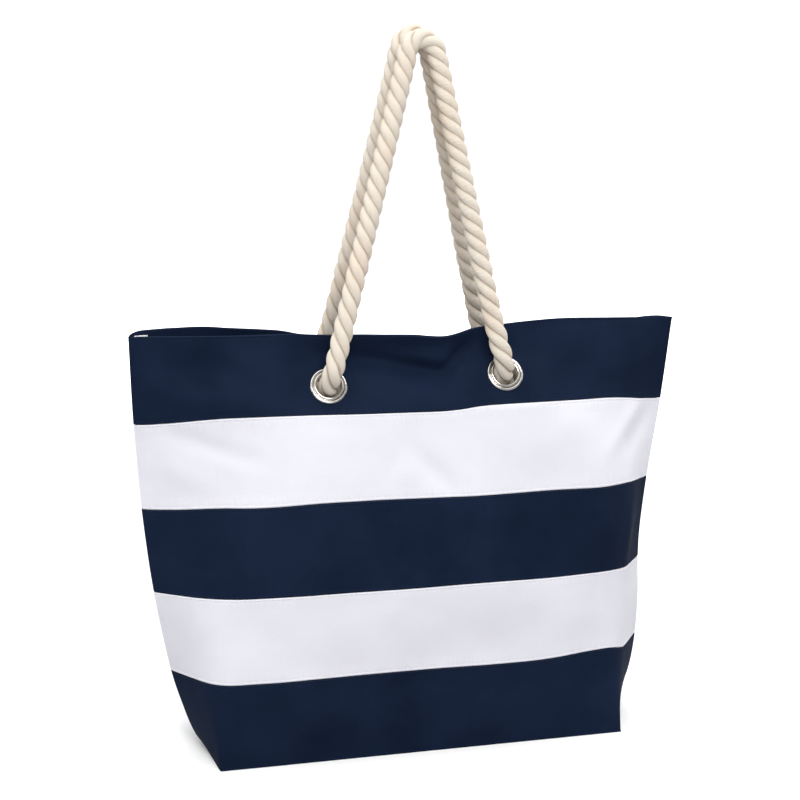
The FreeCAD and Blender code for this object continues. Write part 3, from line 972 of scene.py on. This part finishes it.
def tape_strip(name, node, line, inward, flat_normal):
    """Tape folded over raw edges. It follows a line, and its fold stands inward from it."""
    rows = lengths_along(line)
    bm = grid([n / TAPE_STEPS for n in range(TAPE_STEPS + 1)], rows)
    edge = bm.verts.layers.float.new("edge")
    for vert in bm.verts:
        i, turn = nearest(rows, vert.co.y), vert.co.x
        wave = TAPE_WAVE * math.sin(rows[i] * TAPE_WAVES)
        if turn < TAPE_FLAT:
            across, lift = TAPE_WIDE * (turn / TAPE_FLAT), TAPE_FOLD
        elif turn > 1 - TAPE_FLAT:
            across, lift = TAPE_WIDE * ((1 - turn) / TAPE_FLAT), -TAPE_FOLD
        else:
            bend = math.pi * (turn - TAPE_FLAT) / (1 - 2 * TAPE_FLAT)
            across, lift = TAPE_WIDE + TAPE_FOLD * math.sin(bend), TAPE_FOLD * math.cos(bend)
        vert[edge] = min(across, TAPE_WIDE - across) if across < TAPE_WIDE else 0.0
        vert.co = line[i] + inward * across + flat_normal * (lift + wave)
    bmesh.ops.recalc_face_normals(bm, faces=bm.faces)
    piece = new_piece(name, bm, TAPE)
    finished_cloth(piece, TAPE_CLOTH)
    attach(piece, "bag")
    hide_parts(node)


SIDE_TAPE_ENDS = (0.006, EDGES[5] - 0.0008)
SIDE_TAPE_IN = 0.0048    # inside the side seam
RIM_LIFT = 0.0020        # the tape's top end is turned up by this
BASE_TAPE_Z = 0.0028


def steps_between(first, last, count):
    return [first + (last - first) * n / count for n in range(count + 1)]


def lay_tapes():
    across, level = Vector((0, 1, 0)), Vector((0, 0, 1))
    for hand, sign in HANDS.items():
        inward = Vector((-sign, 0, 0))
        line = []
        for up in steps_between(*SIDE_TAPE_ENDS, 60):
            seam = body_point("front", sign * HALF_WIDTH, up)
            lift = RIM_LIFT * smoothstep(0.38, EDGES[5], up)
            line.append(Vector((seam.x - sign * SIDE_TAPE_IN, 0, seam.z + lift)))
        tape_strip(hand + "_side_tape_cloth", hand + "_side_tape", line, inward, across)
        low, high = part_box(hand + "_corner_tape")
        edge_x = high.x if sign > 0 else low.x
        line = [Vector((edge_x, y, BASE_TAPE_Z)) for y in steps_between(low.y, high.y, 20)]
        tape_strip(hand + "_corner_tape_cloth", hand + "_corner_tape", line, inward, level)
    low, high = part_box("base_seam_tape")
    line = [Vector((x, low.y, BASE_TAPE_Z)) for x in steps_between(low.x, high.x, 50)]
    tape_strip("base_seam_tape_cloth", "base_seam_tape", line, across, level)


lay_tapes()


# ---- Eyelets and washers ----
def placed_by(side, hand):
    """Stands a piece that was made about the Z axis in an eyelet's place."""
    out = facing(side)
    turn = Vector((0, 0, 1)).rotation_difference(out).to_matrix().to_4x4()
    return Matrix.Translation(eyelet_centre(side, hand)) @ turn


def turned_ring(profile):
    """A ring spun from a closed profile of (radius, height) points."""
    bm = bmesh.new()
    verts = [bm.verts.new((radius, 0, height)) for radius, height in profile]
    edges = [bm.edges.new((a, b)) for a, b in zip(verts, verts[1:] + verts[:1])]
    bmesh.ops.spin(bm, geom=verts + edges, cent=(0, 0, 0), axis=(0, 0, 1), angle=2 * math.pi,
                   steps=72, use_merge=True)
    bmesh.ops.remove_doubles(bm, verts=bm.verts, dist=1e-6)
    bmesh.ops.recalc_face_normals(bm, faces=bm.faces)
    return bm


def round_run(centre, radii, start, end, count):
    """Points on an elliptical arc, by angle in degrees."""
    points = []
    for n in range(count + 1):
        angle = math.radians(start + (end - start) * n / count)
        points.append((centre[0] + radii[0] * math.cos(angle), centre[1] + radii[1] * math.sin(angle)))
    return points


FLANGE_R = 0.01725
BEAD_R = 0.01555         # middle of the raised bead on the flange
WALL = 0.00275           # two layers of cloth
WASHER = 0.0010
WASHER_R = 0.0165
BARREL = 0.0009          # thickness of the barrel's wall
BARREL_GAP = 0.00005


def eyelet_profile():
    """A rolled lip by the bore, a bead and the flange's edge, then the barrel, curled over the washer."""
    lip = 0.00120
    lip_centre = BORE_R + lip
    profile = round_run((lip_centre, 0.0016), (lip, 0.0013), 180, 0, 12)
    profile += [(lip_centre + lip - 0.0001, 0.0007), (lip_centre + lip + 0.0003, 0.0004)]
    profile += round_run((BEAD_R, 0.0004), (0.00150, 0.0017), 172, 8, 12)
    profile += [(FLANGE_R - 0.0001, 0.0003), (FLANGE_R - 0.0004, 0.0), (BORE_R + BARREL, 0.0)]
    back = -(WALL + WASHER)
    barrel = BORE_R + BARREL
    profile += [(barrel, back), (barrel + 0.0014, back), (barrel + 0.0018, back - 0.0004)]
    profile += [(barrel + 0.0012, back - 0.0010), (BORE_R + 0.0005, back - 0.0010), (BORE_R, back - 0.0004)]
    return profile


def washer_profile():
    inner = BORE_R + BARREL + BARREL_GAP
    under = -WALL - WASHER
    return [(inner, -WALL), (WASHER_R - 0.0002, -WALL), (WASHER_R, -WALL - 0.0003),
            (WASHER_R - 0.0003, under), (inner, under)]


def set_eyelets():
    for side in SIDES:
        for hand in HANDS:
            name = side + "_" + hand
            ring = turned_ring(eyelet_profile())
            ring.transform(placed_by(side, hand))
            piece = new_piece(name + "_eyelet_ring", ring, NICKEL)
            edge = piece.modifiers.new("round", "BEVEL")
            edge.width = 0.00012
            edge.segments = 2
            edge.limit_method = "ANGLE"
            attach(piece, "bag")
            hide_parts(name + "_eyelet")
            washer = turned_ring(washer_profile())
            washer.transform(placed_by(side, hand))
            piece = new_piece(name + "_washer_ring", washer, NICKEL, smooth=False)
            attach(piece, "bag")
            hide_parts(name + "_washer")


set_eyelets()


# ---- Knots inside the bag ----
# An overhand knot drawn tight under its eyelet. Distances are across, up the tilted cloth, and
# inwards from the cloth's face.
KNOT_ROUTE = (
    (0.000, 0.000, 0.002), (0.000, 0.000, 0.012), (0.008, 0.010, 0.016), (0.017, 0.002, 0.020),
    (0.010, -0.013, 0.026), (-0.008, -0.012, 0.018), (-0.016, 0.002, 0.012), (-0.008, 0.014, 0.020),
    (0.006, 0.009, 0.029), (0.003, -0.008, 0.025),
)
KNOT_SIZE = 0.86         # rope in a tight knot is squeezed thinner
TAIL = 0.012             # straight rope above the twine
TWINE_R = 0.00055
TWINE_PRESSED = 0.92     # how close together its turns are
TWINE_OUT = 0.97         # of the rope's radius, to the twine's middle


def tie_knots():
    for side in SIDES:
        for hand, sign in HANDS.items():
            name = side + "_" + hand
            centre, right = eyelet_centre(side, hand), Vector((sign, 0, 0))
            route = [centre + right * a + up_cloth(side) * b - facing(side) * c for a, b, c in KNOT_ROUTE]
            low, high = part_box(name + "_whipping")
            end = (low + high) / 2
            route += [Vector((end.x, end.y, z)) for z in (high.z + TAIL, high.z, low.z + 0.002)]
            bm = laid_rope(spline_points(route), spacing=0.0026, ring=16, size=KNOT_SIZE)[0]
            piece = new_piece(name + "_knotted_rope", bm, COTTON)
            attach(piece, "bag")
            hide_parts(name + "_knot")
            whip_end(name, end, low.z, high.z)


def whip_end(name, axis, low, high):
    """Twine wound round the rope's end, turn by turn."""
    turns = int((high - low - 2 * TWINE_R) / (2 * TWINE_R))
    per_turn = 24
    centres = []
    for n in range(turns * per_turn + 1):
        angle = 2 * math.pi * n / per_turn
        z = low + 0.0022 + 2 * TWINE_R * n / per_turn * TWINE_PRESSED
        out = Vector((math.cos(angle), math.sin(angle), 0)) * ROPE_R * TWINE_OUT
        centres.append(Vector((axis.x, axis.y, z)) + out)
    frames = carried_frames(centres)

    def section(i, turn):
        _, normal, side = frames[i]
        a = 2 * math.pi * turn
        return (normal * math.cos(a) + side * math.sin(a)) * TWINE_R

    bm = tube(centres, 6, section)
    piece = new_piece(name + "_whipping_twine", bm, TWINE)
    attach(piece, "bag")
    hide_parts(name + "_whipping")


tie_knots()


# ---- Floor and light ----
FLOOR_HALF = 3.6
FLOOR_SEEN, FLOOR_LIT = (0.90, 0.90, 0.90), (0.42, 0.42, 0.43)
FLOOR_FADE = (0.9, 1.8)  # distances from the bag over which the floor fades into the backdrop
BACKDROP = 1.05
SKY = (0.22, 0.60)       # light from the horizon, and from above
SKY_TOP = 0.8            # the height, as a direction's Z, from which it is full
# Name, place, what it points at, side of its square, and watts.
LIGHTS = (
    ("overhead", (0, 2.0, 4.5), (0, 2.0, 0), 9.0, 400),
    ("key", (-0.12, -1.42, 1.35), (0, 0, 0.30), 0.8, 19.5),
    ("left_fill", (-2.2, 0.0, 0.9), (0, 0, 0.25), 1.2, 8.5),
    ("right_fill", (2.2, 0.0, 0.9), (0, 0, 0.25), 1.2, 10),
)


def area_light(name, place, aim, size, power):
    data = bpy.data.lights.new(name, "AREA")
    data.size = size
    data.energy = power
    lamp = bpy.data.objects.new(name, data)
    bpy.context.collection.objects.link(lamp)
    lamp.location = place
    lamp.rotation_mode = "QUATERNION"
    lamp.rotation_quaternion = (Vector(aim) - Vector(place)).to_track_quat("-Z", "Y")


def camera_ray(tree):
    return add(tree, "LightPath").outputs["Is Camera Ray"]


def lay_floor():
    bm = bmesh.new()
    bmesh.ops.create_grid(bm, x_segments=1, y_segments=1, size=FLOOR_HALF)
    material, tree, principled = shader("floor")
    seen = camera_ray(tree)
    far = add(tree, "VectorMath", {0: object_place(tree)}, operation="LENGTH").outputs["Value"]
    feed(tree, principled, {
        "Base Color": mixed(tree, FLOOR_LIT, FLOOR_SEEN, seen),
        "Roughness": 0.9,
        "Specular IOR Level": 0.1,
        "Emission Color": (1, 1, 1),
        "Emission Strength": math_node(tree, "MULTIPLY", mapped(tree, far, *FLOOR_FADE), seen),
    })
    new_piece("floor", bm, material)


def hang_backdrop():
    world = bpy.data.worlds.new("studio")
    bpy.context.scene.world = world
    world.use_nodes = True
    tree = world.node_tree
    axes = split_axes(tree, add(tree, "TexCoord").outputs["Generated"])
    sky = mapped(tree, axes["Z"], 0.0, SKY_TOP, *SKY)
    strength = mixed(tree, sky, BACKDROP, camera_ray(tree), kind="FLOAT")
    feed(tree, tree.nodes["Background"], {"Color": (1, 1, 1), "Strength": strength})
    bpy.context.scene.view_settings.view_transform = "Standard"


lay_floor()
hang_backdrop()
for light in LIGHTS:
    area_light(*light)
